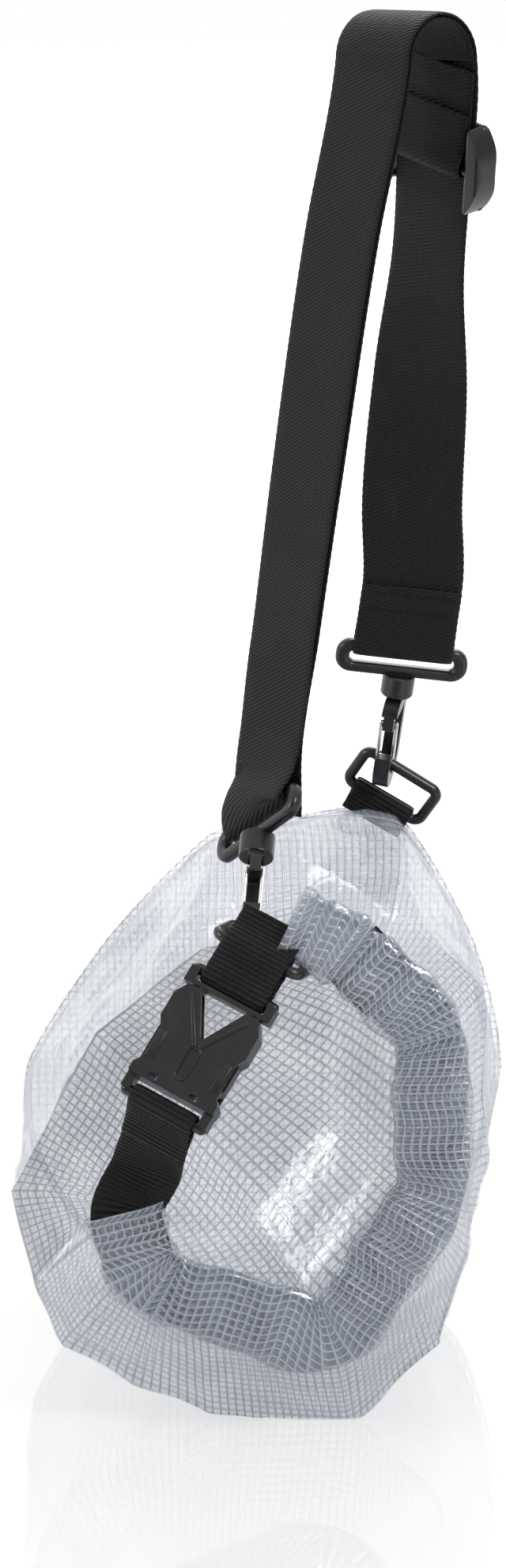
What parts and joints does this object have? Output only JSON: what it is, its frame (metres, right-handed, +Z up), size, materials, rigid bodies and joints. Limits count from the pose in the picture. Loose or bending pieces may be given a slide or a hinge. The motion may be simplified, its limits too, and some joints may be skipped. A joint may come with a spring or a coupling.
{
  "type": "dry bag",
  "caption": "Small clear roll-top dry bag lying on its side, closed with a side-release buckle, with an adjustable shoulder strap on snap hooks standing up from it.",
  "frame": {"origin": "on the face the bag rests on, under the middle of the bag", "axes": "+Z up; the bag's length runs along Y with the rolled mouth at -Y and the round bottom at +Y; +X is to the right seen from the mouth"},
  "size_m": [0.191, 0.2616, 0.4967],
  "materials": {
    "film": "clear reinforced film with a thread grid",
    "stiffener": "milky plastic strip",
    "tape": "black ribbed webbing",
    "strap": "black twill webbing",
    "moulding": "black acetal, fine satin",
    "wire": "bright spring wire"
  },
  "bodies": {
    "bag": {"bag_shell": "film", "bag_bottom": "film", "rolled_mouth": "film", "mouth_stiffener": "stiffener", "lower_webbing": "tape", "upper_webbing": "tape", "buckle_plug": "moulding", "rear_tab": "tape", "rear_tab_patch": "film", "front_strap_loop": "moulding", "rear_strap_loop": "moulding", "strap_outer_run": "strap", "strap_inner_run": "strap"},
    "socket": {"buckle_socket": "moulding"},
    "left_prong": {"left_prong": "moulding"},
    "right_prong": {"right_prong": "moulding"},
    "front_ring": {"front_d_ring": "moulding"},
    "rear_ring": {"rear_d_ring": "moulding"},
    "front_hook": {"front_hook": "moulding"},
    "rear_hook": {"rear_hook": "moulding"},
    "front_gate": {"front_gate": "wire"},
    "rear_gate": {"rear_gate": "wire"},
    "slider": {"slider": "moulding", "slider_fold": "strap"}
  },
  "joints": [
    {"name": "buckle_release", "type": "slide", "parent": "bag", "child": "socket", "axis": [-0.5048, -0.3598, -0.7847], "range_m": [0, 0.034], "deforming": ["lower_webbing", "left_prong", "right_prong"]},
    {"name": "left_prong_press", "type": "hinge", "parent": "bag", "child": "left_prong", "pos_m": [-0.0196, -0.12338, 0.16501], "axis": [-0.1125, -0.8738, 0.4731], "range_deg": [0, 8.5], "stiffness_Nm_per_rad": 0.3},
    {"name": "right_prong_press", "type": "hinge", "parent": "bag", "child": "right_prong", "pos_m": [0.00009, -0.1309, 0.1558], "axis": [0.1125, 0.8738, -0.4731], "range_deg": [0, 8.5], "stiffness_Nm_per_rad": 0.3},
    {"name": "front_ring_swing", "type": "hinge", "parent": "bag", "child": "front_ring", "pos_m": [0.0012, -0.11933, 0.17743], "axis": [0.8559, -0.3271, -0.4006], "range_deg": [-2, 5]},
    {"name": "rear_ring_swing", "type": "hinge", "parent": "bag", "child": "rear_ring", "pos_m": [0.05, 0.105, 0.191], "axis": [0.8486, 0, -0.5291], "range_deg": [-2, 4]},
    {"name": "front_hook_swivel", "type": "hinge", "parent": "bag", "child": "front_hook", "pos_m": [0.00178, -0.07362, 0.21102], "axis": [0.0801, 0.661, 0.7461], "range_deg": [-10, 10]},
    {"name": "rear_hook_swivel", "type": "hinge", "parent": "bag", "child": "rear_hook", "pos_m": [0.05605, 0.08332, 0.24537], "axis": [0.1199, -0.3497, 0.9292], "range_deg": [-10, 10]},
    {"name": "front_gate_open", "type": "hinge", "parent": "front_hook", "child": "front_gate", "pos_m": [0.00076, -0.09237, 0.20281], "axis": [0.9953, -0.0121, -0.0962], "range_deg": [0, 25], "stiffness_Nm_per_rad": 0.02},
    {"name": "rear_gate_open", "type": "hinge", "parent": "rear_hook", "child": "rear_gate", "pos_m": [0.05199, 0.08188, 0.22534], "axis": [0.9696, -0.1598, -0.1853], "range_deg": [0, 25], "stiffness_Nm_per_rad": 0.02},
    {"name": "slider_slide", "type": "slide", "parent": "bag", "child": "slider", "axis": [0.0396, -0.3134, 0.9488], "range_m": [-0.03, 0.012], "deforming": ["strap_inner_run"]}
  ],
  "couplings": [
    {"joint": "right_prong_press", "follows": "left_prong_press", "ratio": 1}
  ]
}
